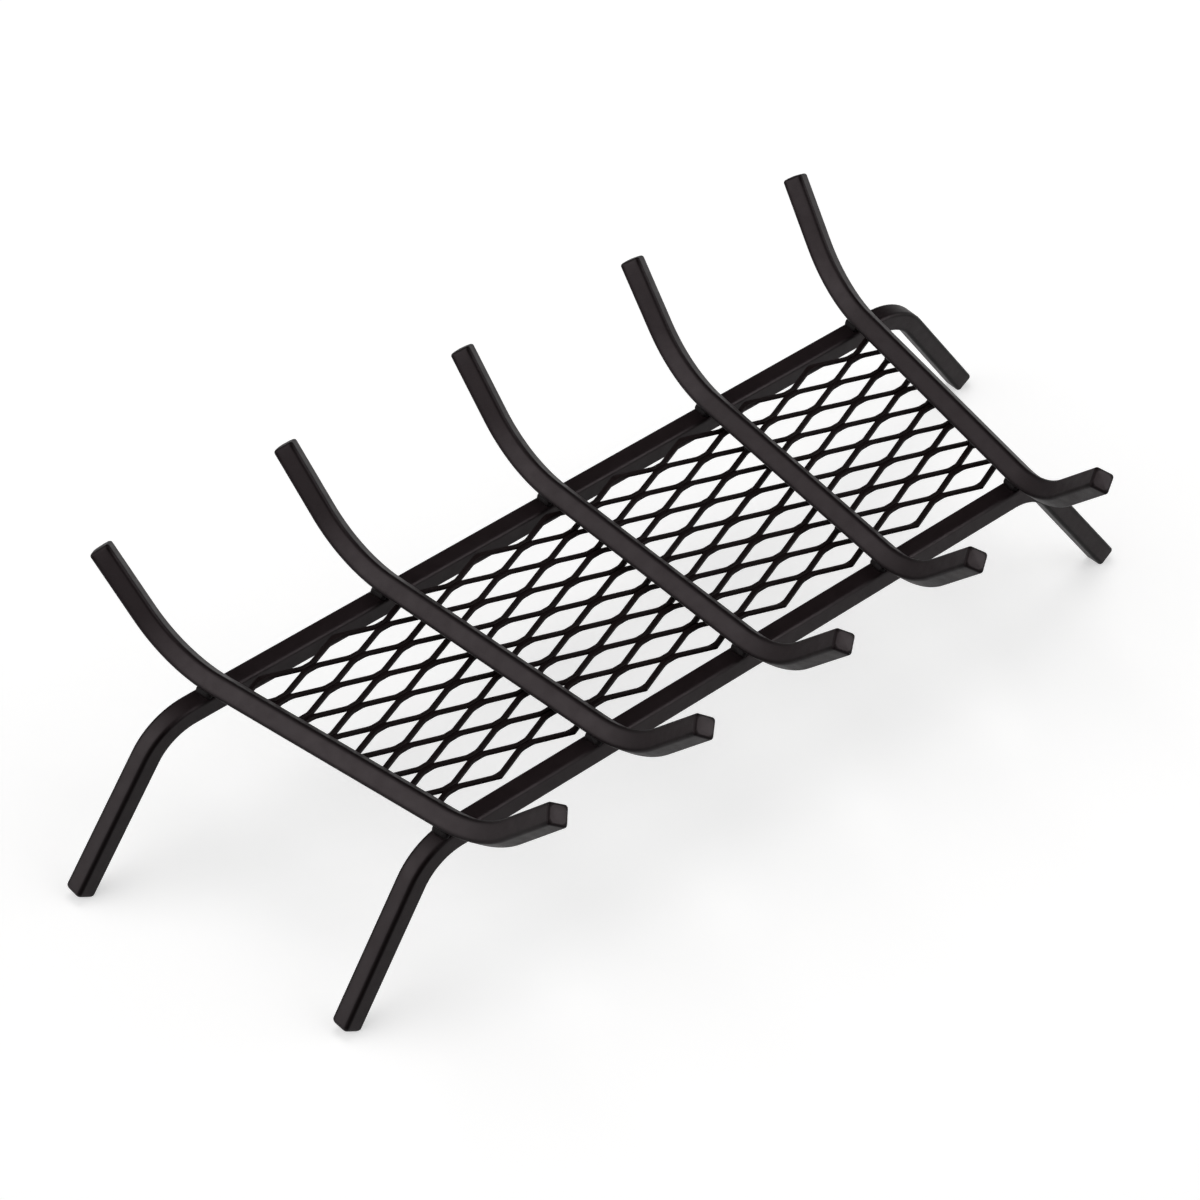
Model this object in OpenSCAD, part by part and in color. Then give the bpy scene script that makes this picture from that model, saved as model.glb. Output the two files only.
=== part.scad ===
// Log grate: two bent rails, five bent log bars laid across them on edge, and a mesh
// panel hung below the log bars. Everything is welded. Millimetres, +Z up, +X along the
// rails, +Y towards the tall uprights. The origin is on the floor, under the middle of
// the grate's outer box.

/* [Square bar] */
// Side of the square bar that the rails and log bars are bent from
bar_side = 12.7; // [8:0.1:18]
// Radius of the bar's long corners
bar_corner_r = 2; // [0.5:0.1:3]
// Radius of the edges around each cut end
end_edge_r = 1; // [0.3:0.1:1.8]

/* [Rails] */
// Distance between the centre lines of the two rails
rail_spacing = 170; // [140:1:240]
// Height of the rails' highest line over the floor
rail_top = 101.6; // [80:0.2:150]
// How far the upright-side rail runs straight past the outer log bars' centre lines
long_rail_end = 14; // [-10:1:40]
// How far the lip-side rail runs straight past the outer log bars' centre lines, where a
// minus value puts those log bars over its bends
short_rail_end = -6; // [-10:1:40]
// Radius of the centre line where a rail turns down into a leg
leg_bend_r = 38; // [24:1:60]
// Angle of the legs to the floor
leg_angle = 55.5; // [45:0.5:80]
// Lean of each rail's feet away from the middle
rail_lean = 2.2; // [0:0.1:6]

/* [Log bars] */
// Pitch of the log bars over the upright-side rail
long_rail_pitch = 123; // [110:0.5:140]
// Pitch of the log bars over the lip-side rail
short_rail_pitch = 107; // [95:0.5:120]
// Length of the straight run between the two bends
run_length = 164; // [150:1:230]
// Overhang of the run past the lip-side rail's centre line
run_overhang = 0; // [-10:1:20]
// Radius of the upright's bend
upright_bend_r = 75; // [50:1:110]
// Angle of the upright to the run
upright_angle = 47; // [40:1:75]
// Length of the upright's straight end
upright_length = 44; // [20:1:90]
// Radius of the lip's bend
lip_bend_r = 66; // [45:1:90]
// Angle of the lip to the run
lip_angle = 46; // [25:1:60]
// Length of the lip's straight end
lip_length = 46; // [25:1:80]

/* [Mesh panel] */
// Thickness of the mesh panel
mesh_thickness = 2.4; // [1.5:0.1:4]
// Width of one strand of the mesh
strand_width = 3.4; // [2:0.1:4.5]
// Length of one diamond, along the rails
diamond_length = 52; // [45:0.5:80]
// Width of one diamond, across the rails
diamond_width = 21; // [15:0.5:30]
// Length of the solid joint between two diamonds
knuckle_length = 8.5; // [5:0.5:14]
// Rows of diamonds between the two rails
mesh_rows = 7; // [5:1:9]
// Shift of the diamonds along the rails from the grate's middle
mesh_shift = -10.5; // [-26:0.5:26]
// Distance from the panel's slanted ends to the outer log bars' centre lines
mesh_end_inset = 3; // [0:0.5:20]

/* [Welds] */
// Radius of a weld bead between a log bar and a rail
bead_r = 3; // [2:0.1:5]
// Length of a weld bead between a log bar and a rail
bead_length = 11; // [7:0.5:16]
// Distance of a bead's centre line from the log bar's lower ridge
bead_offset = 4.1; // [3:0.1:6]
// Radius of a tack weld between a log bar and the mesh panel
tack_r = 2.6; // [1.5:0.1:4]
// Distance of a tack weld from the log bar's lower ridge
tack_offset = 2.4; // [1:0.1:5]
// Distance of the two tack welds under a log bar from the panel's middle
tack_reach = 42; // [20:1:60]

/* [Hidden] */
$fn = 48;

// How far a leaning rail's and an upturned log bar's rounded section reach from the
// centre line, straight up or down
rail_reach = (bar_side / 2 - bar_corner_r) * (cos(rail_lean) + sin(rail_lean)) + bar_corner_r;
ridge_reach = (bar_side / 2 - bar_corner_r) * sqrt(2) + bar_corner_r;
rail_z = rail_top - rail_reach;
run_z = rail_top + ridge_reach;

// A leg is cut square, so it stands on its inner lower edge, which end_edge_r rounds
foot_reach = (bar_side / 2 - end_edge_r) * cos(leg_angle) + end_edge_r * (1 - sin(leg_angle));
leg_drop = (rail_z - (bar_side / 2 - bar_corner_r) * sin(rail_lean)) / cos(rail_lean);
leg_length = (leg_drop - foot_reach - leg_bend_r * (1 - cos(leg_angle))) / sin(leg_angle);

// Extents across the rails, for the origin under the middle of the outer box
upright_out = run_length - run_overhang + upright_bend_r * sin(upright_angle)
    + upright_length * cos(upright_angle) + ridge_reach * sin(upright_angle);
lip_out = run_overhang + lip_bend_r * sin(lip_angle) + lip_length * cos(lip_angle)
    + ridge_reach * sin(lip_angle);
y_shift = (rail_spacing - upright_out + lip_out) / 2;

// Bends and straights meet at a hairline, and a core inside the bar joins them
seam = 0.01;
function seam_angle(bend_r) = seam / bend_r * 180 / PI;

// Straight lengths of the rails between their bends
long_rail_straight = 4 * long_rail_pitch + 2 * long_rail_end;
short_rail_straight = 4 * short_rail_pitch + 2 * short_rail_end;

// The log bars are fanned: each one turns about the vertical to meet both pitches
mean_pitch = (long_rail_pitch + short_rail_pitch) / 2;
fan = (long_rail_pitch - short_rail_pitch) / rail_spacing;

// Place of log bar i along the rails, at a distance y from the middle between the rails
function bar_x(i, y) = (i - 3) * (mean_pitch + fan * y);
function bar_yaw(i) = atan(fan * (i - 3));

// Halves of one diamond, and the panel's reach towards each rail
half_l = diamond_length / 2;
half_w = diamond_width / 2;
mesh_reach = mesh_rows * half_w;

// Tacks sit where a strand crosses under a log bar, on the side facing the middle
function tack_side(i) = i > 3 ? -1 : 1;
function tack_x0(i) = (i - 3) * mean_pitch + tack_side(i) * tack_offset - mesh_shift;
function strand_no(i, y) = round(
    ((1 - half_w / half_l * fan * (i - 3)) * y - half_w / half_l * tack_x0(i)) / half_w / 2
    - mesh_rows / 2
);
function tack_y(i, y) = (
    half_w / half_l * tack_x0(i) + half_w * (mesh_rows + 2 * strand_no(i, y))
) / (1 - half_w / half_l * fan * (i - 3));

module rounded_square() {
    union() {
        square([bar_side, bar_side - 2 * bar_corner_r], center = true);
        square([bar_side - 2 * bar_corner_r, bar_side], center = true);
        for (sx = [-1, 1]) {
            for (sy = [-1, 1]) {
                translate([
                    sx * (bar_side / 2 - bar_corner_r),
                    sy * (bar_side / 2 - bar_corner_r)
                ]) {
                    circle(r = bar_corner_r);
                }
            }
        }
    }
}

module core() {
    cube(bar_side / 2, center = true);
}

// Side view of a bar end that points up, with both end corners rounded
module end_profile(length) {
    union() {
        translate([-bar_side / 2, 0]) {
            square([bar_side, length - end_edge_r]);
        }
        translate([-bar_side / 2 + end_edge_r, 0]) {
            square([bar_side - 2 * end_edge_r, length]);
        }
        for (sx = [-1, 1]) {
            translate([sx * (bar_side / 2 - end_edge_r), length - end_edge_r]) {
                circle(r = end_edge_r);
            }
        }
    }
}

// Straight end of a bar, standing up from the origin, with rounded end edges
module bar_end(length) {
    intersection() {
        linear_extrude(height = length) {
            rounded_square();
        }
        rotate([90, 0, 0]) {
            linear_extrude(height = bar_side + 2, center = true) {
                end_profile(length);
            }
        }
        rotate([90, 0, 90]) {
            linear_extrude(height = bar_side + 2, center = true) {
                end_profile(length);
            }
        }
    }
}

// A rail's end: runs along +X from the origin, turns down and ends as a leg
module leg() {
    a = seam_angle(leg_bend_r);
    core();
    translate([0, 0, -leg_bend_r]) {
        rotate([90, 0, 0]) {
            rotate([0, 0, 90 - leg_angle + a]) {
                rotate_extrude(angle = leg_angle - 2 * a) {
                    translate([leg_bend_r, 0]) {
                        rounded_square();
                    }
                }
            }
        }
    }
    translate([leg_bend_r * sin(leg_angle), 0, -leg_bend_r * (1 - cos(leg_angle))]) {
        rotate([0, 90 + leg_angle, 0]) {
            core();
            bar_end(leg_length);
        }
    }
}

// A rail along X, its straight part centred on the origin
module rail(straight) {
    union() {
        translate([-straight / 2, 0, 0]) {
            rotate([0, 90, 0]) {
                linear_extrude(height = straight) {
                    rounded_square();
                }
            }
        }
        translate([straight / 2, 0, 0]) {
            leg();
        }
        mirror([1, 0, 0]) {
            translate([straight / 2, 0, 0]) {
                leg();
            }
        }
    }
}

module place_rail(side, straight) {
    translate([0, y_shift + side * rail_spacing / 2, rail_z]) {
        rotate([side * rail_lean, 0, 0]) {
            rail(straight);
        }
    }
}

// A log bar's end: runs along +Y from the origin, turns up and ends straight
module upturn(bend_r, angle, length) {
    a = seam_angle(bend_r);
    core();
    translate([0, 0, bend_r]) {
        rotate([90, 0, 90]) {
            rotate([0, 0, a - 90]) {
                rotate_extrude(angle = angle - 2 * a) {
                    translate([bend_r, 0]) {
                        rotate(45) {
                            rounded_square();
                        }
                    }
                }
            }
        }
    }
    translate([0, bend_r * sin(angle), bend_r * (1 - cos(angle))]) {
        rotate([angle - 90, 0, 0]) {
            rotate([0, 0, 45]) {
                core();
                bar_end(length);
            }
        }
    }
}

// Log bar i, laid on edge across both rails
module log_bar(i) {
    translate([bar_x(i, -rail_spacing / 2), y_shift - rail_spacing / 2, run_z]) {
        rotate([0, 0, -bar_yaw(i)]) {
            union() {
                translate([0, -run_overhang, 0]) {
                    rotate([-90, 0, 0]) {
                        linear_extrude(height = run_length) {
                            rotate(45) {
                                rounded_square();
                            }
                        }
                    }
                }
                translate([0, run_length - run_overhang, 0]) {
                    upturn(upright_bend_r, upright_angle, upright_length);
                }
                mirror([0, 1, 0]) {
                    translate([0, run_overhang, 0]) {
                        upturn(lip_bend_r, lip_angle, lip_length);
                    }
                }
            }
        }
    }
}

// One hole of the mesh: a diamond with its joint ends cut flat
module diamond() {
    polygon([
        [knuckle_length / 2, half_w - strand_width],
        [half_l - knuckle_length / 2, 0],
        [knuckle_length / 2, strand_width - half_w],
        [-knuckle_length / 2, strand_width - half_w],
        [knuckle_length / 2 - half_l, 0],
        [-knuckle_length / 2, half_w - strand_width]
    ]);
}

// Outline of the sheet, its long edges left as free zigzags
module zigzag_sheet() {
    half_n = ceil(2.2 * long_rail_pitch / diamond_length) + 1;
    polygon(concat(
        [
            for (k = [-half_n : half_n])
                for (p = [
                    [-knuckle_length / 2, 0],
                    [knuckle_length / 2, 0],
                    [half_l - knuckle_length / 2, half_w - strand_width],
                    [half_l + knuckle_length / 2, half_w - strand_width]
                ])
                    [mesh_shift + k * diamond_length + p[0], p[1] - mesh_reach]
        ],
        [
            for (k = [half_n : -1 : -half_n])
                for (p = [
                    [half_l + knuckle_length / 2, half_w - strand_width],
                    [half_l - knuckle_length / 2, half_w - strand_width],
                    [knuckle_length / 2, 0],
                    [-knuckle_length / 2, 0]
                ])
                    [mesh_shift + k * diamond_length + p[0], mesh_reach - p[1]]
        ]
    ));
}

// The slanted ends follow the outer log bars
module fan_outline() {
    y = mesh_reach + 1;
    inset = mesh_end_inset / cos(bar_yaw(5));
    polygon([
        [bar_x(1, -y) + inset, -y],
        [bar_x(5, -y) - inset, -y],
        [bar_x(5, y) - inset, y],
        [bar_x(1, y) + inset, y]
    ]);
}

module mesh() {
    half_n = ceil(2.2 * long_rail_pitch / diamond_length);
    translate([0, y_shift, rail_top - mesh_thickness]) {
        linear_extrude(height = mesh_thickness) {
            intersection() {
                difference() {
                    zigzag_sheet();
                    for (k = [-half_n : half_n]) {
                        for (j = [0 : mesh_rows - 1]) {
                            translate([
                                mesh_shift + k * diamond_length,
                                (2 * j + 1) * half_w - mesh_reach
                            ]) {
                                diamond();
                            }
                        }
                        for (j = [1 : mesh_rows - 1]) {
                            translate([
                                mesh_shift + half_l + k * diamond_length,
                                2 * j * half_w - mesh_reach
                            ]) {
                                diamond();
                            }
                        }
                    }
                }
                fan_outline();
            }
        }
    }
}

// A pair of weld beads along both sides of log bar i, on the rail at side -1 or 1
module beads(i, side, straight) {
    difference() {
        translate([
            bar_x(i, side * rail_spacing / 2),
            y_shift + side * rail_spacing / 2,
            rail_top + bead_r / 3
        ]) {
            rotate([0, 0, -bar_yaw(i)]) {
                for (s = [-1, 1]) {
                    translate([s * bead_offset, 0, 0]) {
                        union() {
                            rotate([90, 0, 0]) {
                                cylinder(h = bead_length - 2 * bead_r, r = bead_r, center = true);
                            }
                            for (e = [-1, 1]) {
                                translate([0, e * (bead_length / 2 - bead_r), 0]) {
                                    sphere(r = bead_r);
                                }
                            }
                        }
                    }
                }
            }
        }
        log_bar(i);
        place_rail(side, straight);
    }
}

// Two tack welds that hang the mesh panel under log bar i
module tacks(i) {
    difference() {
        for (target = [-tack_reach, tack_reach]) {
            y = tack_y(i, target);
            translate([
                bar_x(i, y) + tack_side(i) * tack_offset,
                y_shift + y,
                rail_top + tack_r / 4
            ]) {
                sphere(r = tack_r);
            }
        }
        log_bar(i);
        mesh();
    }
}

module rail_upright_side() {
    color("#2b2929") {
        place_rail(1, long_rail_straight);
    }
}

module rail_lip_side() {
    color("#2b2929") {
        place_rail(-1, short_rail_straight);
    }
}

module mesh_panel() {
    color("#262424") {
        mesh();
    }
}

module log_bar_1() {
    color("#2b2929") {
        log_bar(1);
    }
}

module log_bar_2() {
    color("#2b2929") {
        log_bar(2);
    }
}

module log_bar_3() {
    color("#2b2929") {
        log_bar(3);
    }
}

module log_bar_4() {
    color("#2b2929") {
        log_bar(4);
    }
}

module log_bar_5() {
    color("#2b2929") {
        log_bar(5);
    }
}

module welds_upright_side_1() {
    color("#232121") {
        beads(1, 1, long_rail_straight);
    }
}

module welds_upright_side_2() {
    color("#232121") {
        beads(2, 1, long_rail_straight);
    }
}

module welds_upright_side_3() {
    color("#232121") {
        beads(3, 1, long_rail_straight);
    }
}

module welds_upright_side_4() {
    color("#232121") {
        beads(4, 1, long_rail_straight);
    }
}

module welds_upright_side_5() {
    color("#232121") {
        beads(5, 1, long_rail_straight);
    }
}

module welds_lip_side_1() {
    color("#232121") {
        beads(1, -1, short_rail_straight);
    }
}

module welds_lip_side_2() {
    color("#232121") {
        beads(2, -1, short_rail_straight);
    }
}

module welds_lip_side_3() {
    color("#232121") {
        beads(3, -1, short_rail_straight);
    }
}

module welds_lip_side_4() {
    color("#232121") {
        beads(4, -1, short_rail_straight);
    }
}

module welds_lip_side_5() {
    color("#232121") {
        beads(5, -1, short_rail_straight);
    }
}

module mesh_tacks_1() {
    color("#232121") {
        tacks(1);
    }
}

module mesh_tacks_2() {
    color("#232121") {
        tacks(2);
    }
}

module mesh_tacks_3() {
    color("#232121") {
        tacks(3);
    }
}

module mesh_tacks_4() {
    color("#232121") {
        tacks(4);
    }
}

module mesh_tacks_5() {
    color("#232121") {
        tacks(5);
    }
}

rail_upright_side();
rail_lip_side();
log_bar_1();
log_bar_2();
log_bar_3();
log_bar_4();
log_bar_5();
mesh_panel();
welds_upright_side_1();
welds_upright_side_2();
welds_upright_side_3();
welds_upright_side_4();
welds_upright_side_5();
welds_lip_side_1();
welds_lip_side_2();
welds_lip_side_3();
welds_lip_side_4();
welds_lip_side_5();
mesh_tacks_1();
mesh_tacks_2();
mesh_tacks_3();
mesh_tacks_4();
mesh_tacks_5();
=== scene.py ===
import math

import bpy
from mathutils import Matrix, Vector, noise


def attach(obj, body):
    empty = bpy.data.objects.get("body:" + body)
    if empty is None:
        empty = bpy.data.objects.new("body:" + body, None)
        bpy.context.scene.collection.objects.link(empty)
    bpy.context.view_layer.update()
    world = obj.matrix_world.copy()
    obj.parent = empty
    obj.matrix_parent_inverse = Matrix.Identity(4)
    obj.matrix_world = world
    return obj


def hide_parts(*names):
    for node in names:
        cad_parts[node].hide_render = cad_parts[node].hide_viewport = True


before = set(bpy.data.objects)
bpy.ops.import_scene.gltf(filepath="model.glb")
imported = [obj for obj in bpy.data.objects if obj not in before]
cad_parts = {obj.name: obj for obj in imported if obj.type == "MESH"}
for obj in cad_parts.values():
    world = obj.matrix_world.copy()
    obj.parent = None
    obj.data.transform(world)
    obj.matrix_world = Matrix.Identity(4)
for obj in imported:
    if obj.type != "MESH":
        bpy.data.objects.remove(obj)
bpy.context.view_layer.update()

MM = 0.001

# ---- Sizes of the grate, in millimetres and degrees, as the solids have them ----
BAR = 12.7  # side of the square bar
BAR_R = 2.0  # radius of its long corners
RAIL_SPACING = 170.0  # between the middles of the two rails
RAIL_TOP = 101.6  # height of the rails' top
LONG_RAIL = 520.0  # straight of the rail on the uprights' side
SHORT_RAIL = 416.0  # straight of the rail on the lips' side
LEG_R = 38.0  # bend radius between a rail and its legs
LEG_ANGLE = 55.5  # how far a leg turns down
RAIL_LEAN = 2.2  # how far the legs lean outward, and their rail with them
FIRST_BAR = 1
MIDDLE_BAR = 3
LAST_BAR = 5
LOG_BARS = range(FIRST_BAR, LAST_BAR + 1)
LONG_PITCH = 123.0  # between log bars, at the long rail
SHORT_PITCH = 107.0  # between log bars, at the short rail
RUN = 164.0  # straight of a log bar, between its bends
UPRIGHT = (75.0, 47.0, 44.0)  # bend radius, angle and straight of a log bar's tall end
LIP = (66.0, 46.0, 46.0)  # bend radius, angle and straight of its short end
LOG_BAR_ROLL = 45.0  # a log bar is turned on its edge
DIAMOND_L = 52.0  # a diamond of the mesh along X
DIAMOND_W = 21.0  # and along Y
MESH_ROWS = 7  # diamonds across the panel, each with two rows of strands
MESH_SHIFT = -10.5  # how far the diamonds are shifted along X
BEAD_R = 3.0  # radius of a weld bead
BEAD_L = 11.0  # its length
BEAD_OFF = 4.1  # from a log bar's middle to its beads
BEAD_LIFT = BEAD_R / 3  # from the rails' top to a bead's middle
TACK_R = 2.6  # radius of a tack weld
TACK_OFF = 2.4  # from a log bar's middle to its tacks
TACK_REACH = 42.0  # from the middle between the rails to the tacks
TACK_LIFT = TACK_R / 4  # from the rails' top to a tack's middle

# ---- Detail of the bars that the scene adds, in millimetres and degrees ----
BAR_END_R = 1.8  # rounding of a log bar's cut ends
LEG_END_R = 3.0  # rounding of a leg's cut end
END_BACK = 0.1  # how far the rim of a cut end lies behind the end of the bar's middle line
DOME = 0.35  # how far the middle of a cut end stands ahead of it
# Rings of that dome, from the rim inward: share of the flat's width, and distance ahead.
DOME_RINGS = ((0.95, -0.07), (0.8, 0.08), (0.55, 0.21), (0.3, 0.30), (0.1, DOME - 0.01))
END_STEPS = 7  # rings around the rounding of a cut end
CORNER_STEPS = 6  # steps around a long corner
SIDE_POINTS = (0.05, 0.2, 0.5, 0.8, 0.95)  # points on a flat side, as shares of its width
SIDE_EDGES = (0.05, 0.95)  # those of them at its two edges
STRAIGHT_STEP = 9.0  # between rings on a straight
ARC_STEP = 3.0  # between rings in a bend
ARC_LEAST = 6  # fewest rings in a bend

# ---- Painted shade along the bars' corners and around their cut ends, from 0 for none to 1 for full ----
CORNER_SHADE = 1.0
CORNER_EDGE_SHADE = 0.75
SIDE_EDGE_SHADE = 0.25
END_SHADE = 0.75  # painted shade around the rounding of a cut end
END_KEEP = 0.8  # share of the corners' painted shade that goes on around that rounding
LOG_BAR_SHADE = 0.6  # share of the corners' painted shade that a log bar shows
RAIL_SHADE_ANGLE = 30  # a rail shows all of it where it is this steep, and none where it is level


def sin(angle):
    return math.sin(math.radians(angle))


def cos(angle):
    return math.cos(math.radians(angle))


RAIL_REACH = (BAR / 2 - BAR_R) * (cos(RAIL_LEAN) + sin(RAIL_LEAN)) + BAR_R  # from middle to top
RIDGE = (BAR / 2 - BAR_R) * math.sqrt(2) + BAR_R  # from a log bar's middle to its ridge
RAIL_Z = RAIL_TOP - RAIL_REACH
RUN_Z = RAIL_TOP + RIDGE
MEAN_PITCH = (LONG_PITCH + SHORT_PITCH) / 2
FAN = (LONG_PITCH - SHORT_PITCH) / RAIL_SPACING  # how fast the pitch grows along Y


def reach(straight, radius, angle, length):
    """How far a log bar's ridge gets along Y over a straight, a bend and a straight end."""
    return straight + radius * sin(angle) + length * cos(angle) + RIDGE * sin(angle)


# The middle between the rails. The origin lies under the middle of the outer box.
MIDDLE_Y = (RAIL_SPACING - reach(RUN, *UPRIGHT) + reach(0, *LIP)) / 2


def bar_x(i, y):
    """X of log bar i's middle line, at a distance y from the middle between the rails."""
    return (i - MIDDLE_BAR) * (MEAN_PITCH + FAN * y)


def bar_yaw(i):
    """Angle of log bar i to Y, in radians."""
    return math.atan(FAN * (i - MIDDLE_BAR))


# ---- Camera and studio, in metres ----
CAMERA_PLACE = Vector((-1.074708, -1.253046 + MIDDLE_Y * MM, 1.596339))
CAMERA_RIGHT = Vector((0.761866, -0.647618, -0.012325))
CAMERA_UP = Vector((0.445138, 0.509653, 0.736279))
CAMERA_AHEAD = Vector((0.470546, 0.566432, -0.676566))
CAMERA_CLIP = 50  # farthest distance that it sees
FRAME_PX = 1200  # width of the frame in pixels
FOCUS_PX = 3891.438  # focal length in the same pixels
SENSOR_MM = 36.0
KEY_PLACE = Vector((0.35, 0.55, 2.4))
KEY_SIDE = 1.5  # of the square lamp
KEY_WATTS = 17
KEY_COLOUR = (1.0, 0.99, 0.98)
# Greys of the sky by height, from 0 at the horizon to 1 overhead.
SKY = [(0.0, 0.9), (0.07, 0.8), (0.16, 0.16), (0.35, 0.05), (1.0, 0.05)]
# Two softboxes, 30 to 40 degrees up: direction, strength, cosine at the edge and power of the falloff.
SOFTBOXES = [
    ((-0.76, 0.20, 0.62), 6.0, 0.62, 1.0),
    ((0.57, -0.64, 0.52), 7.4, 0.75, 1.3),
]
SOFTBOX_FILL = 0.2  # share of their strength that reaches anything but reflections
FLOOR_HALF = 8.0  # half the floor's side
FLOOR_GREY = 0.72
FLOOR_GLOW = 0.52  # light that the floor adds where it is seen

# Sockets of the Mix node when it mixes colours.
MIX_FACTOR = 0
MIX_FIRST = 6
MIX_SECOND = 7
MIX_RESULT = 2


class NodeTree:
    """Adds and links the nodes of a material or a world."""

    def __init__(self, owner):
        owner.use_nodes = True
        self.tree = owner.node_tree

    def add(self, kind):
        return self.tree.nodes.new("ShaderNode" + kind)

    def feed(self, socket, value):
        """Link a socket to another node's output, or set it to a colour or a number."""
        if hasattr(value, "is_linked"):
            self.tree.links.new(value, socket)
        elif isinstance(value, tuple):
            socket.default_value = (*value, 1)
        else:
            socket.default_value = value

    def math(self, operation, first, second):
        node = self.add("Math")
        node.operation = operation
        self.feed(node.inputs[0], first)
        self.feed(node.inputs[1], second)
        return node.outputs[0]

    def mix(self, first, second, factor):
        node = self.add("Mix")
        node.data_type = "RGBA"
        self.feed(node.inputs[MIX_FIRST], first)
        self.feed(node.inputs[MIX_SECOND], second)
        self.feed(node.inputs[MIX_FACTOR], factor)
        return node.outputs[MIX_RESULT]

    def ramp(self, factor, stops):
        """A colour ramp, with each stop a position and a colour or a grey."""
        node = self.add("ValToRGB")
        elements = node.color_ramp.elements
        while len(elements) < len(stops):
            elements.new(0.5)
        for element, (position, colour) in zip(elements, stops):
            element.position = position
            element.color = (*colour, 1) if isinstance(colour, tuple) else (colour, colour, colour, 1)
        self.feed(node.inputs["Fac"], factor)
        return node.outputs["Color"]

    def noise(self, where, scale, detail, roughness=0.55):
        node = self.add("TexNoise")
        node.inputs["Scale"].default_value = scale
        node.inputs["Detail"].default_value = detail
        node.inputs["Roughness"].default_value = roughness
        self.feed(node.inputs["Vector"], where)
        return node.outputs["Fac"]


def add_object(name, data):
    thing = bpy.data.objects.new(name, data)
    bpy.context.scene.collection.objects.link(thing)
    return thing


def make_camera():
    data = bpy.data.cameras.new("camera")
    data.sensor_width = SENSOR_MM
    data.lens = FOCUS_PX / FRAME_PX * SENSOR_MM
    data.clip_end = CAMERA_CLIP
    camera = add_object("camera", data)
    turn = Matrix((CAMERA_RIGHT, CAMERA_UP, -CAMERA_AHEAD)).transposed()
    camera.matrix_world = Matrix.Translation(CAMERA_PLACE) @ turn.to_4x4()
    bpy.context.scene.camera = camera
    bpy.context.scene.view_settings.view_transform = "Standard"


def make_key_lamp():
    """A square lamp overhead, aimed at the origin, that no surface mirrors."""
    data = bpy.data.lights.new("key", "AREA")
    data.shape = "RECTANGLE"
    data.size = KEY_SIDE
    data.size_y = KEY_SIDE
    data.energy = KEY_WATTS
    data.color = KEY_COLOUR
    lamp = add_object("key", data)
    turn = (-KEY_PLACE).to_track_quat("-Z", "Y").to_matrix()
    lamp.matrix_world = Matrix.Translation(KEY_PLACE) @ turn.to_4x4()
    lamp.visible_glossy = False


def make_world():
    """The studio: a pale band around the horizon, a dark ceiling and the softboxes."""
    world = bpy.data.worlds.new("world")
    bpy.context.scene.world = world
    nodes = NodeTree(world)
    nodes.tree.nodes.clear()
    world.cycles.sampling_method = "NONE"
    direction = nodes.add("TexCoord").outputs["Generated"]
    height = nodes.add("SeparateXYZ")
    nodes.feed(height.inputs[0], direction)
    light = nodes.ramp(height.outputs["Z"], SKY)
    rays = nodes.add("LightPath")
    share = nodes.math("MAXIMUM", rays.outputs["Is Glossy Ray"], SOFTBOX_FILL)
    for aim, strength, edge, power in SOFTBOXES:
        facing = nodes.add("VectorMath")
        facing.operation = "DOT_PRODUCT"
        facing.inputs[1].default_value = Vector(aim).normalized()
        nodes.feed(facing.inputs[0], direction)
        inside = nodes.math("MAXIMUM", nodes.math("SUBTRACT", facing.outputs["Value"], edge), 0.0)
        lobe = nodes.math("POWER", nodes.math("DIVIDE", inside, 1 - edge), power)
        glow = nodes.math("MULTIPLY", nodes.math("MULTIPLY", lobe, strength), share)
        light = nodes.math("ADD", light, glow)
    background = nodes.add("Background")
    nodes.feed(background.inputs["Color"], light)
    nodes.feed(nodes.add("OutputWorld").inputs["Surface"], background.outputs[0])


def floor_material():
    """Pale floor that keeps its shadows and is lifted to white for the camera and in reflections."""
    material = bpy.data.materials.new("floor")
    nodes = NodeTree(material)
    nodes.tree.nodes.clear()
    rays = nodes.add("LightPath")
    seen = nodes.math("ADD", rays.outputs["Is Camera Ray"], rays.outputs["Is Glossy Ray"])
    seen = nodes.math("ADD", seen, rays.outputs["Is Transmission Ray"])
    diffuse = nodes.add("BsdfDiffuse")
    nodes.feed(diffuse.inputs["Color"], (FLOOR_GREY, FLOOR_GREY, FLOOR_GREY))
    glow = nodes.add("Emission")
    nodes.feed(glow.inputs["Strength"], nodes.math("MULTIPLY", seen, FLOOR_GLOW))
    both = nodes.add("AddShader")
    nodes.feed(both.inputs[0], diffuse.outputs[0])
    nodes.feed(both.inputs[1], glow.outputs[0])
    nodes.feed(nodes.add("OutputMaterial").inputs["Surface"], both.outputs[0])
    return material


def make_floor():
    mesh = bpy.data.meshes.new("floor")
    corners = [(x * FLOOR_HALF, y * FLOOR_HALF, 0) for x, y in ((-1, -1), (1, -1), (1, 1), (-1, 1))]
    mesh.from_pydata(corners, [], [(0, 1, 2, 3)])
    mesh.materials.append(floor_material())
    add_object("floor", mesh)


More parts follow.
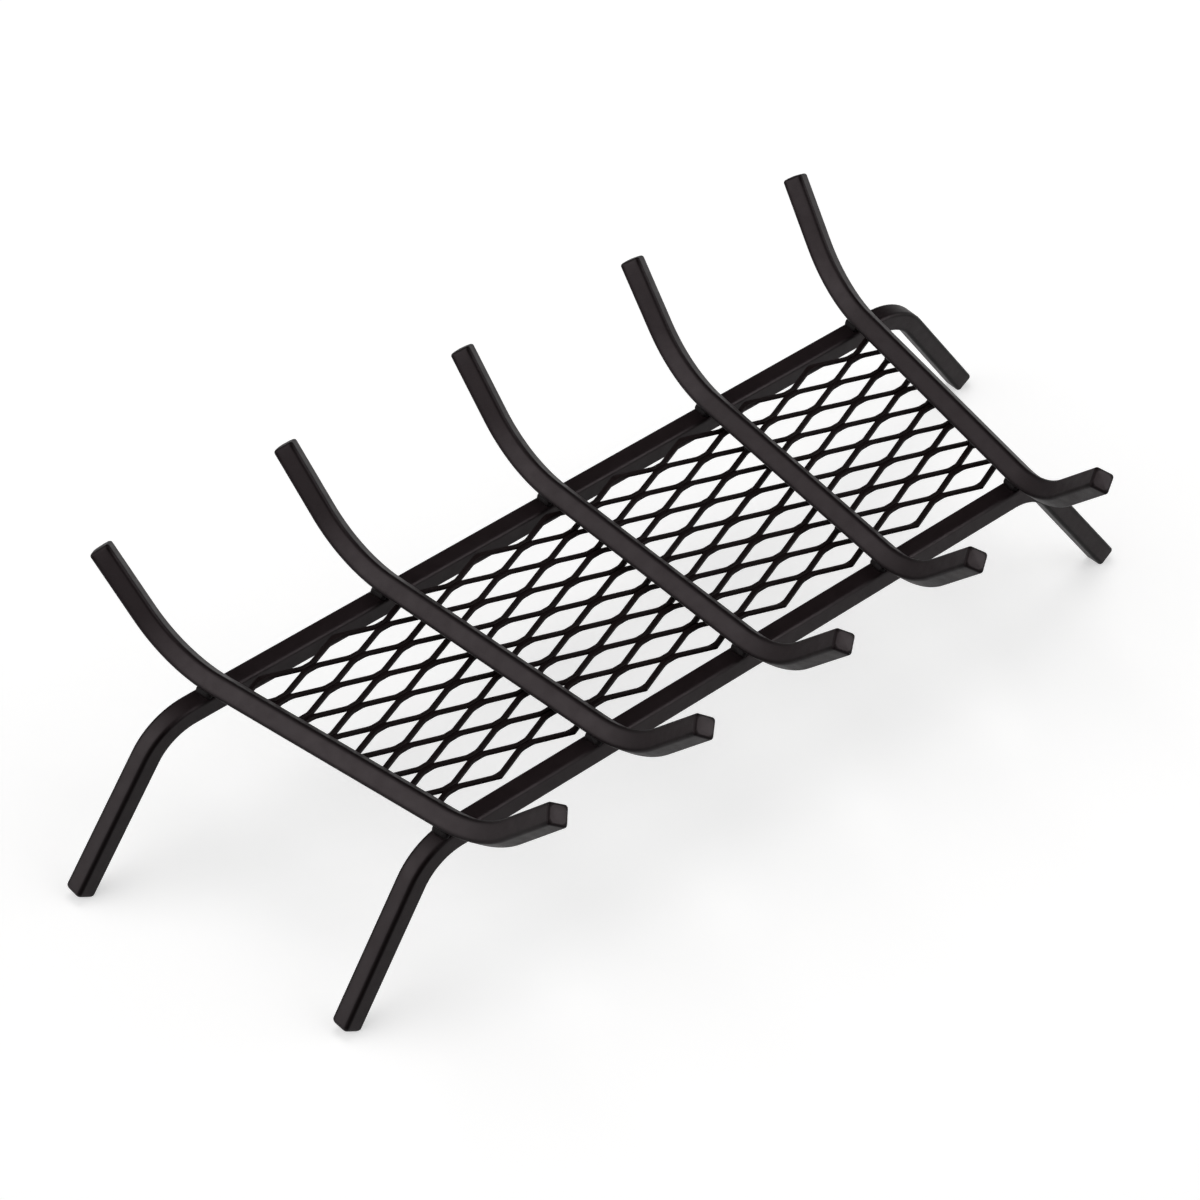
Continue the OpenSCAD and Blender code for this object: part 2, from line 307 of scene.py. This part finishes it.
# ---- Coatings. Scales are in waves or cells per metre, and stops are positions with their values ----
COATING_IOR = 1.5
MOTTLE = (55, 5, 0.6)  # scale, detail and roughness of the slow change of tone
MOTTLE_RANGE = (0.3, 0.7)  # noise at the dark tone and at the light one
GRAIN_DETAIL = 3
GRAIN_GAIN = 1.35  # tone of the grain, as a share of the light tone
GRAIN_STOPS = [(0.55, 0.0), (0.8, 0.35)]
SPECK_CELLS = 95  # at most one speck in each cell
SPECK_SIZE = [(0.035, 1.0), (0.06, 0.0)]  # by distance from the cell's point
SPECK_PATCHES = (21, 2)  # scale and detail of the patches that have specks
SPECK_STOPS = [(0.62, 0.0), (0.68, 0.55)]
SPECK_COLOUR = (0.16, 0.15, 0.145)
PAINTED_SHADE_GAIN = 0.35  # tone of the painted shade on a corner, as a share of the dark tone
SHEEN_TINT = (1.0, 0.89, 0.92)
# reflection tint where the painted shade is full: a painted darker reflection
PAINTED_SHADE_TINT = (0.08, 0.06, 0.06)
SHEEN = (130, 4)  # scale and detail of the change in roughness
SHEEN_RANGE = ((0.25, -0.05), (0.75, 0.07))
BUMP_DEPTH = 0.00025


def tone(colour, gain):
    return tuple(channel * gain for channel in colour)


def add_specks(nodes, where, colour):
    """A few pale specks, in patches, over a colour."""
    cells = nodes.add("TexVoronoi")
    cells.inputs["Scale"].default_value = SPECK_CELLS
    nodes.feed(cells.inputs["Vector"], where)
    small = nodes.ramp(cells.outputs["Distance"], SPECK_SIZE)
    rare = nodes.ramp(nodes.noise(where, *SPECK_PATCHES), SPECK_STOPS)
    return nodes.mix(colour, SPECK_COLOUR, nodes.math("MULTIPLY", small, rare))


def add_painted_shade(nodes, shader, colour, dark, ridge):
    """Painted shade: a darker colour and a darker reflection along the corners, where the mesh's ridge
    attribute says.
    """
    attribute = nodes.add("Attribute")
    attribute.attribute_name = "ridge"
    amount = nodes.math("MULTIPLY", attribute.outputs["Fac"], ridge)
    nodes.feed(shader.inputs["Specular Tint"], nodes.mix(SHEEN_TINT, PAINTED_SHADE_TINT, amount))
    return nodes.mix(colour, tone(dark, PAINTED_SHADE_GAIN), amount)


def coating(name, dark, light, rough, level, grain, bump, specks=False, ridge=0.0):
    """Baked-on black coating: a tone mottled from dark to light, a fine grain and an uneven sheen,
    with specks and with painted shade along the corners where they are asked for. level is the strength of
    the sheen, grain the scale of the grain, bump its height and ridge the strength of the painted shade."""
    material = bpy.data.materials.new(name)
    nodes = NodeTree(material)
    shader = nodes.tree.nodes["Principled BSDF"]
    shader.inputs["IOR"].default_value = COATING_IOR
    shader.inputs["Specular IOR Level"].default_value = level
    where = nodes.add("TexCoord").outputs["Object"]
    fine = nodes.noise(where, grain, GRAIN_DETAIL)
    colour = nodes.ramp(nodes.noise(where, *MOTTLE), list(zip(MOTTLE_RANGE, (dark, light))))
    colour = nodes.mix(colour, tone(light, GRAIN_GAIN), nodes.ramp(fine, GRAIN_STOPS))
    if specks:
        colour = add_specks(nodes, where, colour)
    # Painted shade along the corners: a darker colour and a duller reflection.
    if ridge:
        colour = add_painted_shade(nodes, shader, colour, dark, ridge)
    nodes.feed(shader.inputs["Base Color"], colour)
    sheen = nodes.ramp(nodes.noise(where, *SHEEN), [(at, rough + more) for at, more in SHEEN_RANGE])
    nodes.feed(shader.inputs["Roughness"], sheen)
    relief = nodes.add("Bump")
    relief.inputs["Strength"].default_value = bump
    relief.inputs["Distance"].default_value = BUMP_DEPTH
    nodes.feed(relief.inputs["Height"], fine)
    nodes.feed(shader.inputs["Normal"], relief.outputs["Normal"])
    return material


# ridge is the strength of the painted shade along the bars' corners.
BAR_COATING = coating(
    "bar_coating", dark=(0.0027, 0.0014, 0.0017), light=(0.0042, 0.0025, 0.0028),
    rough=0.50, level=0.16, grain=1500, bump=0.25, specks=True, ridge=0.9,
)
MESH_COATING = coating(
    "mesh_coating", dark=(0.0030, 0.0015, 0.0016), light=(0.0046, 0.0026, 0.0027),
    rough=0.52, level=0.07, grain=1700, bump=0.3,
)
WELD_COATING = coating(
    "weld_coating", dark=(0.0018, 0.0012, 0.0013), light=(0.0032, 0.0022, 0.0024),
    rough=0.50, level=0.05, grain=1300, bump=0.4,
)


# ---- Building helpers ----
def add_piece(name, node, verts, faces, material, slot, ridge=None):
    """A smooth piece in place of a node of the solids, from points in millimetres. ridge is the
    painted shade at each point."""
    mesh = bpy.data.meshes.new(name)
    mesh.from_pydata([tuple(c * MM for c in vert) for vert in verts], [], faces)
    mesh.validate()
    mesh.update()
    # The ridge attribute carries the painted shade along the corners to the coating.
    if ridge:
        attribute = mesh.attributes.new("ridge", "FLOAT", "POINT")
        attribute.data.foreach_set("value", ridge)
    mesh.polygons.foreach_set("use_smooth", [True] * len(mesh.polygons))
    mesh.materials.append(material)
    piece = add_object(name, mesh)
    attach(piece, "root")
    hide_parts(node)


def tube_faces(rings, count):
    """Quads between rings of count points each. They face outward where the points run
    counter-clockwise about the way from ring to ring."""
    faces = []
    for i in range(rings - 1):
        here = i * count
        there = here + count
        for j in range(count):
            k = (j + 1) % count
            faces.append((here + j, here + k, there + k, there + j))
    return faces


def closed_faces(rings, count, clockwise=False):
    """Faces of a tube that a point closes at each end. The two points come after the rings.
    clockwise is for rings that run the other way round."""
    first_point = rings * count
    last_ring = first_point - count
    faces = tube_faces(rings, count)
    for j in range(count):
        k = (j + 1) % count
        faces.append((k, j, first_point))
        faces.append((last_ring + j, last_ring + k, first_point + 1))
    return [face[::-1] for face in faces] if clockwise else faces


def join(parts):
    """One mesh from several, each of points and faces."""
    verts = []
    faces = []
    for more_verts, more_faces in parts:
        first = len(verts)
        verts += more_verts
        faces += [tuple(first + index for index in face) for face in more_faces]
    return verts, faces


# ---- Rails and log bars: a rounded square swept along a bent line ----
def bar_section():
    """Points of the bar's section as (left, up, painted shade), going round from left to up."""
    half = BAR / 2 - BAR_R
    corners = [(1, 1), (-1, 1), (-1, -1), (1, -1)]

    def rounding(corner, angle):
        x, y = corners[corner % len(corners)]
        return x * half + BAR_R * cos(angle), y * half + BAR_R * sin(angle)

    points = []
    for k in range(len(corners)):
        for j in range(CORNER_STEPS + 1):
            # Painted shade: full on a corner's rounding, less where it meets the flats.
            shade = CORNER_SHADE if 0 < j < CORNER_STEPS else CORNER_EDGE_SHADE
            points.append((*rounding(k, 90 * (k + j / CORNER_STEPS)), shade))
        start = rounding(k, 90 * (k + 1))
        end = rounding(k + 1, 90 * (k + 1))
        for share in SIDE_POINTS:
            shade = SIDE_EDGE_SHADE if share in SIDE_EDGES else 0.0
            points.append((*(a + (b - a) * share for a, b in zip(start, end)), shade))
    return points


BAR_SECTION = bar_section()


def to_left(angle):
    return Vector((-sin(angle), cos(angle)))


def bent_path(parts, start, heading):
    """Points and headings along a chain of straights, each a length, and arcs, each a radius and
    a turn to the left."""
    path = [(Vector(start), heading)]
    for part in parts:
        point, angle = path[-1]
        if isinstance(part, tuple):
            radius, turn = part
            side = 1 if turn > 0 else -1
            centre = point + to_left(angle) * radius * side
            steps = max(ARC_LEAST, round(radius * math.radians(abs(turn)) / ARC_STEP))
            for j in range(1, steps + 1):
                ahead = angle + turn * j / steps
                path.append((centre - to_left(ahead) * radius * side, ahead))
        else:
            steps = max(1, round(part / STRAIGHT_STEP))
            for j in range(1, steps + 1):
                path.append((point + Vector((cos(angle), sin(angle))) * part * j / steps, angle))
    return path


def end_rings(end_radius):
    """Rings of a rounded and domed cut end, outermost first: share of the section's width, distance
    ahead of the path's end, share kept of the corners' painted shade, and least painted shade."""
    rings = [(1.0, -(end_radius + END_BACK), 1.0, 0.0)]
    for k in range(1, END_STEPS + 1):
        turn = 90 * k / END_STEPS
        share = 1 - end_radius * (1 - cos(turn)) / (BAR / 2)
        ahead = -(end_radius * (1 - sin(turn)) + END_BACK)
        rings.append((share, ahead, END_KEEP, END_SHADE * sin(2 * turn)))
    flat = 1 - end_radius / (BAR / 2)
    return rings + [(flat * share, ahead, 0.0, 0.0) for share, ahead in DOME_RINGS]


def sweep(path, place, roll, end_radius, shade):
    """A bar along a path in the plane of (along, up), with its section turned by roll. place maps
    (along, left, up) to the part's frame, and the last argument gives the share of the corners' painted
    shade at a heading. Returns points, faces and the painted shade of each point."""
    turned = [(x * cos(roll) - y * sin(roll), x * sin(roll) + y * cos(roll), w) for x, y, w in BAR_SECTION]

    def ring(point, angle, share, ahead, keep, least):
        loop = []
        for left, up, shaded in turned:
            along = point[0] - sin(angle) * (up * share) + cos(angle) * ahead
            height = point[1] + cos(angle) * (up * share) + sin(angle) * ahead
            loop.append((place(along, left * share, height), max(shaded * keep, least)))
        return loop

    ends = end_rings(end_radius)
    rings = [ring(*path[0], share, -ahead, keep, least) for share, ahead, keep, least in reversed(ends)]
    rings += [ring(point, angle, 1.0, 0.0, shade(angle), 0.0) for point, angle in path[1:-1]]
    rings += [ring(*path[-1], *end) for end in ends]
    verts = [vert for loop in rings for vert, _ in loop]
    ridge = [shaded for loop in rings for _, shaded in loop]
    for (point, angle), ahead in ((path[0], -DOME), (path[-1], DOME)):
        verts.append(place(point[0] + cos(angle) * ahead, 0.0, point[1] + sin(angle) * ahead))
        ridge.append(0.0)
    return verts, closed_faces(len(rings), len(turned)), ridge


# Share of the corners' painted shade along a rail, by its heading.
def rail_shade(angle):
    return min(1.0, abs(angle) / RAIL_SHADE_ANGLE)


# Share of the corners' painted shade along a log bar, the same at every heading.
def log_bar_shade(angle):
    return LOG_BAR_SHADE


def make_rail(name, side, straight):
    """A rail with its two legs. side is 1 on the uprights' side and -1 on the lips' side."""
    # How far a leg's rounded end reaches below the end of its middle line.
    foot = (BAR / 2 - LEG_END_R) * cos(LEG_ANGLE) + (LEG_END_R + END_BACK) * (1 - sin(LEG_ANGLE))
    # From the rail's middle to the floor, in the plane that leans with the legs.
    drop = (RAIL_Z - (BAR / 2 - BAR_R) * sin(RAIL_LEAN)) / cos(RAIL_LEAN)
    leg = (drop - foot - LEG_R * (1 - cos(LEG_ANGLE))) / sin(LEG_ANGLE)
    along = -straight / 2 - LEG_R * sin(LEG_ANGLE) - leg * cos(LEG_ANGLE)
    up = -LEG_R * (1 - cos(LEG_ANGLE)) - leg * sin(LEG_ANGLE)
    bend = (LEG_R, -LEG_ANGLE)
    path = bent_path([leg, bend, straight, bend, leg], (along, up), LEG_ANGLE)
    c = cos(side * RAIL_LEAN)
    s = sin(side * RAIL_LEAN)

    def place(along, left, up):
        return (along, MIDDLE_Y + side * RAIL_SPACING / 2 + left * c - up * s, RAIL_Z + left * s + up * c)

    verts, faces, ridge = sweep(path, place, 0.0, LEG_END_R, rail_shade)
    add_piece(name + "_bar", name, verts, faces, BAR_COATING, "bar_coating", ridge)


def make_log_bar(i):
    """Log bar i, turned on edge: its lip, its run and its upright."""
    lip_radius, lip_angle, lip_length = LIP
    up_radius, up_angle, up_length = UPRIGHT
    along = -lip_radius * sin(lip_angle) - lip_length * cos(lip_angle)
    up = lip_radius * (1 - cos(lip_angle)) + lip_length * sin(lip_angle)
    parts = [lip_length, (lip_radius, lip_angle), RUN, (up_radius, up_angle), up_length]
    path = bent_path(parts, (along, up), -lip_angle)
    yaw = bar_yaw(i)
    way = Vector((math.sin(yaw), math.cos(yaw)))
    x = bar_x(i, -RAIL_SPACING / 2)
    y = MIDDLE_Y - RAIL_SPACING / 2

    def place(along, left, up):
        return (x + way.x * along - way.y * left, y + way.y * along + way.x * left, RUN_Z + up)

    verts, faces, ridge = sweep(path, place, LOG_BAR_ROLL, BAR_END_R, log_bar_shade)
    add_piece(f"log_bar_{i}_bar", f"log_bar_{i}", verts, faces, BAR_COATING, "bar_coating", ridge)


# ---- Mesh panel: raised expanded metal, one tilted strip for each row of strands ----
HALF_L = DIAMOND_L / 2
HALF_W = DIAMOND_W / 2
SLOPE = HALF_W / HALF_L
MESH_INSET = 0.9  # from the outer log bars' middle lines to the strands' ends
MESH_DY = 1.4  # how far the strands lie to +Y of the panel's place
STRAND_WIDTH = 4.2  # in plan
STRAND_T = 2.05  # thickness
STRAND_TILT = 15.0
STRAND_FUSE = 0.25  # how far a strand reaches into the next at a joint
STRAND_CORNER = 0.28  # radius of a strand's edges
STRAND_STEP = 0.9  # between sections along a strand
ROUND_MIDDLE = 0.29  # middle of a quarter round, from the corner, as a share of the two sides
LOWER_FILL = 3.2  # least height of a strand's upper edge, at the sharp lower joints
ARCH_FILL = 3.7  # how far the lower edge stays below an upper joint
ARCH_EASE = 1.8  # half the stretch over which that arch is eased
ARCH_SAMPLES = 7
STRAND_GAP = 0.05  # from the rails' top to the highest strands
WANDER = 0.12  # how far a strand wanders sideways, at most
WANDER_RATE = 0.045  # steps through the noise, by millimetre along X and by row
WANDER_ROW = 3.1
SAG = 0.12  # how far it sags, at most
SAG_RATE = 0.03
SAG_ROW = 1.7
SAG_LANE = 5  # keeps the sag's noise apart from the wander's


def strand_edges(x, row):
    """Lower and upper edge of a strand in plan, from the line of its lower joints. It is a strip
    along the diamonds' sides, filled sharply at the lower joints and arched under the upper ones.
    The panel's two free edges come to points."""
    x = x % DIAMOND_L
    x = min(x, DIAMOND_L - x)
    low = 0.0
    for j in range(ARCH_SAMPLES):
        near = x + ARCH_EASE * (2 * j / (ARCH_SAMPLES - 1) - 1)
        near = min(near, DIAMOND_L - near)
        low += min(SLOPE * near - STRAND_WIDTH / 2, HALF_W - ARCH_FILL) / ARCH_SAMPLES
    high = max(SLOPE * x + STRAND_WIDTH / 2, LOWER_FILL)
    if row > -MESH_ROWS:
        low = max(low, -STRAND_FUSE)
    if row < MESH_ROWS - 1:
        high = min(high, HALF_W + STRAND_FUSE)
    return low, high


def strand_section(low, high, top):
    """Points (y, z) around a tilted strip between two edges, with rounded corners."""
    c = cos(STRAND_TILT)
    s = sin(STRAND_TILT)
    bottom = top - (high - low) * math.tan(math.radians(STRAND_TILT))
    corners = [
        (high, bottom), (low + STRAND_T * s, top),
        (low, top - STRAND_T * c), (high - STRAND_T * s, bottom - STRAND_T * c),
    ]
    points = []
    for k in range(len(corners)):
        corner, back, ahead = (Vector(corners[(k + step) % len(corners)]) for step in (0, -1, 1))
        back = (back - corner).normalized() * STRAND_CORNER
        ahead = (ahead - corner).normalized() * STRAND_CORNER
        points += [corner + back, corner + (ahead + back) * ROUND_MIDDLE, corner + ahead]
    return points


def strand(row):
    """One row of strands, from the first log bar to the last."""
    phase = MESH_SHIFT + (0 if row % 2 else HALF_L)
    middle = (row + 0.5) * HALF_W
    inset = MESH_INSET / math.cos(bar_yaw(LAST_BAR))
    first_x = bar_x(FIRST_BAR, middle) + inset
    last_x = bar_x(LAST_BAR, middle) - inset
    steps = max(2, round((last_x - first_x) / STRAND_STEP))
    # The two ends are cut along the outer log bars.
    slants = {0: (FIRST_BAR - MIDDLE_BAR) * FAN, steps: (LAST_BAR - MIDDLE_BAR) * FAN}
    verts = []
    for i in range(steps + 1):
        x = first_x + (last_x - first_x) * i / steps
        wander = WANDER * noise.noise(Vector((x * WANDER_RATE, 0, row * WANDER_ROW)))
        sag = SAG * abs(noise.noise(Vector((x * SAG_RATE, SAG_LANE, row * SAG_ROW))))
        low, high = (edge + (row * HALF_W + wander) for edge in strand_edges(x - phase, row))
        section = strand_section(low, high, RAIL_TOP - STRAND_GAP - sag)
        slant = slants.get(i, 0.0)
        verts += [(x + slant * (p.x - middle), MIDDLE_Y + MESH_DY + p.x, p.y) for p in section]
    count = len(section)
    faces = tube_faces(steps + 1, count)
    faces.append(tuple(reversed(range(count))))
    faces.append(tuple(range(len(verts) - count, len(verts))))
    return verts, faces


def make_mesh_panel():
    verts, faces = join([strand(row) for row in range(-MESH_ROWS, MESH_ROWS)])
    add_piece("mesh_panel_expanded", "mesh_panel", verts, faces, MESH_COATING, "mesh_coating")


# ---- Weld beads and tacks ----
BEAD_RINGS = 40
BEAD_POINTS = 28
RIPPLE_RATE = 2.1  # of the puddle ripples along a bead, in radians per millimetre
RIPPLE_BOW = 0.35  # how far they bow, in radians
RIPPLE_MEAN = 0.6  # about their mean, taken off so that they don't thicken a bead
FILLET_DEPTH = 0.26  # how far a bead's flank is flattened, as a share of its radius
FILLET_ANGLE = 35  # how far up that flank looks
ROUGH_DEPTH = 0.07  # unevenness, as a share of the radius
ROUGH_RATE = 0.55  # steps through its noise, by millimetre and by seed
ROUGH_SEED = 7.3
BEAD_MORE = 0.4  # how much longer a bead is than in the solids
BEAD_SHARE = 0.97  # its radius, as a share of the solids' one
BEAD_RIPPLE = 0.05  # height of the ripples, as a share of the radius
BEAD_SEED = 1.7  # steps of a bead's seed, by log bar and by side
BEAD_SIDE_SEED = 5
TACK_L = TACK_R * 2.1  # length of a tack
TACK_WAY = (1, 0.25, 0)  # its length runs along X, turned a little to Y
TACK_RIPPLE = 0.08
TACK_SEED = 2.3


def bead(centre, way, length, radius, ripple, seed, fillet=0):
    """A weld bead: a capsule along its way with puddle ripples and an uneven surface. fillet is 1
    or -1 to flatten its upper flank on that side, or 0 for a round bead."""
    centre = Vector(centre)
    way = Vector(way).normalized()
    side = way.cross(Vector((0, 0, 1))).normalized()
    up = side.cross(way)
    flank = side * fillet * cos(FILLET_ANGLE) + up * sin(FILLET_ANGLE)
    noise_start = Vector((seed * ROUGH_SEED, 0, 0))
    half = length / 2
    verts = []
    for i in range(1, BEAD_RINGS):
        along = -half + length * (1 - math.cos(math.pi * i / BEAD_RINGS)) / 2
        # The two ends are rounded off over the length of a radius.
        depth = half - abs(along)
        girth = math.sqrt(max(0.0, radius**2 - (radius - depth) ** 2)) if depth < radius else radius
        for j in range(BEAD_POINTS):
            angle = 2 * math.pi * j / BEAD_POINTS
            out = side * math.cos(angle) + up * math.sin(angle)
            wave = abs(math.sin(along * RIPPLE_RATE + RIPPLE_BOW * math.cos(angle) + seed))
            size = girth * (1 + ripple * (wave - RIPPLE_MEAN))
            if fillet:
                size *= 1 - FILLET_DEPTH * max(0.0, out.dot(flank)) ** 2
            surface = centre + way * along + out * size
            size += radius * ROUGH_DEPTH * noise.noise(surface * ROUGH_RATE + noise_start)
            verts.append(tuple(centre + way * along + out * size))
    verts += [tuple(centre - way * half), tuple(centre + way * half)]
    return verts, closed_faces(BEAD_RINGS - 1, BEAD_POINTS, clockwise=True)


def make_welds(word, side, i):
    """The two beads between log bar i and a rail."""
    yaw = bar_yaw(i)
    way = Vector((math.sin(yaw), math.cos(yaw), 0))
    across = Vector((way.y, -way.x, 0))
    y = side * RAIL_SPACING / 2
    crossing = Vector((bar_x(i, y), MIDDLE_Y + y, RAIL_TOP + BEAD_LIFT))
    beads = []
    for s in (-1, 1):
        centre = crossing + across * s * BEAD_OFF
        seed = i * BEAD_SEED + s + side * BEAD_SIDE_SEED
        beads.append(bead(centre, way, BEAD_L + BEAD_MORE, BEAD_R * BEAD_SHARE, BEAD_RIPPLE, seed, s))
    add_piece(f"weld_{word}_{i}", f"welds_{word}_side_{i}", *join(beads), WELD_COATING, "weld_coating")


def tack_place(i, target):
    """Where a strand that rises along X crosses the line of log bar i's tacks, nearest to target.
    That line lies beside the bar's middle, on the panel's side for the outer bars."""
    side = -1 if i > MIDDLE_BAR else 1
    start = (i - MIDDLE_BAR) * MEAN_PITCH + side * TACK_OFF - MESH_SHIFT
    lean = 1 - SLOPE * FAN * (i - MIDDLE_BAR)
    row = math.floor((lean * target - SLOPE * start) / HALF_W / 2 - MESH_ROWS / 2 + 0.5)
    y = (SLOPE * start + HALF_W * (MESH_ROWS + 2 * row)) / lean
    return (bar_x(i, y) + side * TACK_OFF, MIDDLE_Y + y, RAIL_TOP + TACK_LIFT)


def make_tacks(i):
    """The two tacks between log bar i and the mesh panel."""
    tacks = []
    for s in (-1, 1):
        centre = tack_place(i, s * TACK_REACH)
        tacks.append(bead(centre, TACK_WAY, TACK_L, TACK_R, TACK_RIPPLE, i * TACK_SEED + s))
    add_piece(f"tack_{i}", f"mesh_tacks_{i}", *join(tacks), WELD_COATING, "weld_coating")


# ---- The scene ----
make_camera()
make_key_lamp()
make_world()
make_floor()
make_rail("rail_upright_side", 1, LONG_RAIL)
make_rail("rail_lip_side", -1, SHORT_RAIL)
for i in LOG_BARS:
    make_log_bar(i)
make_mesh_panel()
for word, side in (("upright", 1), ("lip", -1)):
    for i in LOG_BARS:
        make_welds(word, side, i)
for i in LOG_BARS:
    make_tacks(i)
